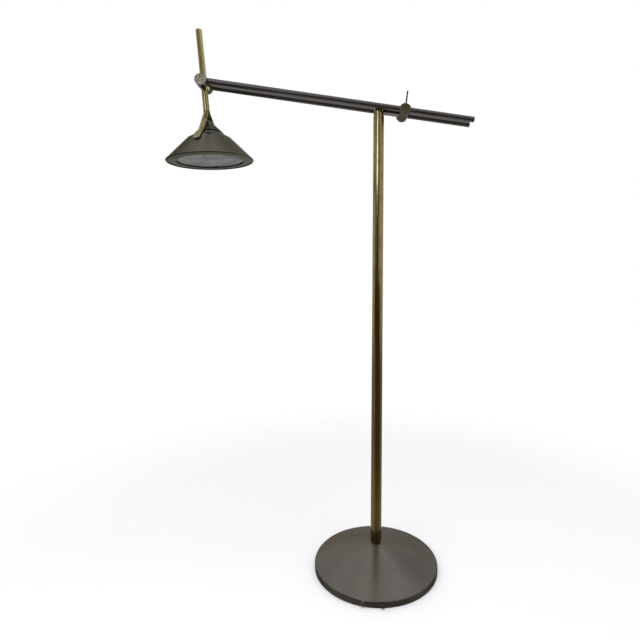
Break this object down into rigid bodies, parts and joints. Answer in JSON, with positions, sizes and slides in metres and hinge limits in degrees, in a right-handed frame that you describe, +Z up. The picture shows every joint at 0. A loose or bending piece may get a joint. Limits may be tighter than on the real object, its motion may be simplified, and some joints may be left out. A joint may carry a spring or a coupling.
{
  "type": "bridge floor lamp",
  "caption": "Floor lamp with a weighted cone base, brass stem, tilting and sliding twin-rod arm, and a cone shade on an upright rod.",
  "frame": {"origin": "centre of the base's underside, on the floor", "axes": "+Z up the stem; the arm lies along X with the shade on -X; the switch is at the front, -Y"},
  "size_m": [0.6897, 0.2769, 1.201],
  "materials": {
    "brushed_nickel": "brushed round the axis",
    "polished_brass": "polished, lacquered",
    "black_nickel": "black nickel, brushed along",
    "nickel": "nickel plate",
    "shade_nickel": "spun, satin nickel finish",
    "dark_steel": "blackened",
    "zinc_steel": "zinc plate",
    "cast_iron": "as cast, painted",
    "felt": "felt",
    "black_plastic": "moulded",
    "nylon": "natural nylon",
    "winding": "taped winding",
    "core_steel": "wound strip",
    "reflector": "bright anodised",
    "ceramic": "glazed ceramic",
    "frosted_glass": "frosted",
    "bulb_glass": "clear quartz"
  },
  "bodies": {
    "base": {"base_shell": "brushed_nickel", "base_posts": "zinc_steel", "base_weight": "cast_iron", "base_plate": "zinc_steel", "plate_screws": "zinc_steel", "felt_pad": "felt", "transformer_core": "core_steel", "transformer_winding": "winding", "transformer_nut": "zinc_steel", "transformer_bolt": "zinc_steel", "switch_body": "black_plastic", "switch_ring": "nickel", "cord_gland": "black_plastic", "stem_nipple": "zinc_steel", "hub_disc": "zinc_steel", "nipple_nut": "zinc_steel", "base_ferrule": "polished_brass", "stem_plug": "zinc_steel", "stem_tube": "polished_brass", "swivel_bush": "nylon", "swivel_washer": "nylon"},
    "button": {"push_button": "black_plastic"},
    "swivel": {"swivel_head": "polished_brass", "spigot_clip": "zinc_steel", "tilt_bolt": "zinc_steel"},
    "arm_pivot": {"tilt_bar": "polished_brass", "tilt_washers": "nylon", "clamp_barrel": "nickel", "bar_screw": "zinc_steel", "clamp_bushes": "nylon"},
    "lever": {"clamp_ring": "nickel", "clamp_lever": "dark_steel"},
    "arm": {"near_rod": "black_nickel", "far_rod": "black_nickel", "rod_plugs": "black_plastic", "near_head_block": "nickel", "far_head_block": "nickel", "head_set_screws": "dark_steel"},
    "lamp_head": {"head_barrel": "polished_brass", "head_far_stud": "nickel"},
    "head_knob": {"head_knob_ring": "nickel", "head_knob_core": "polished_brass"},
    "turning_bush": {"rod_bush": "nylon"},
    "lamp": {"upright_rod": "polished_brass", "rod_cap": "polished_brass", "fork": "polished_brass", "fork_screws": "dark_steel", "shade_shell": "shade_nickel", "vent_cap": "shade_nickel", "shade_nipple": "zinc_steel", "shade_nuts": "zinc_steel", "shade_sleeve": "zinc_steel", "holder_carrier": "zinc_steel", "lamp_holder": "ceramic", "reflector": "reflector", "halogen_bulb": "bulb_glass", "bulb_pins": "nickel", "bezel_ring": "shade_nickel", "glass_disc": "frosted_glass", "glass_clips": "dark_steel"}
  },
  "joints": [
    {"name": "button_press", "type": "slide", "parent": "base", "child": "button", "axis": [0.2756, 0.9613, 0], "range_m": [0, 0.002], "stiffness_N_per_m": 200},
    {"name": "head_swivel", "type": "hinge", "parent": "base", "child": "swivel", "pos_m": [0, 0, 1.0275], "axis": [0, 0, 1], "range_deg": [-170, 170]},
    {"name": "arm_tilt", "type": "hinge", "parent": "swivel", "child": "arm_pivot", "pos_m": [0, 0, 1.0275], "axis": [0, 1, 0], "range_deg": [-22, 23]},
    {"name": "clamp_lever_turn", "type": "hinge", "parent": "arm_pivot", "child": "lever", "pos_m": [0.05667, 0, 1.01813], "axis": [0, 1, 0], "range_deg": [-10, 80]},
    {"name": "arm_slide", "type": "slide", "parent": "arm_pivot", "child": "arm", "axis": [0.9921, 0, -0.1252], "range_m": [-0.1, 0.09]},
    {"name": "lamp_tilt", "type": "hinge", "parent": "arm", "child": "lamp_head", "pos_m": [-0.39614, 0, 1.07526], "axis": [0, 1, 0], "range_deg": [-25, 60]},
    {"name": "head_knob_turn", "type": "hinge", "parent": "lamp_head", "child": "head_knob", "pos_m": [-0.39614, 0, 1.07526], "axis": [0, 1, 0], "range_deg": [0, 180]},
    {"name": "upright_turn", "type": "hinge", "parent": "lamp_head", "child": "turning_bush", "pos_m": [-0.39614, 0, 1.07526], "axis": [-0.1097, 0, 0.994], "range_deg": [-90, 90]},
    {"name": "upright_slide", "type": "slide", "parent": "turning_bush", "child": "lamp", "axis": [-0.1097, 0, 0.994], "range_m": [-0.09, 0.04]}
  ]
}
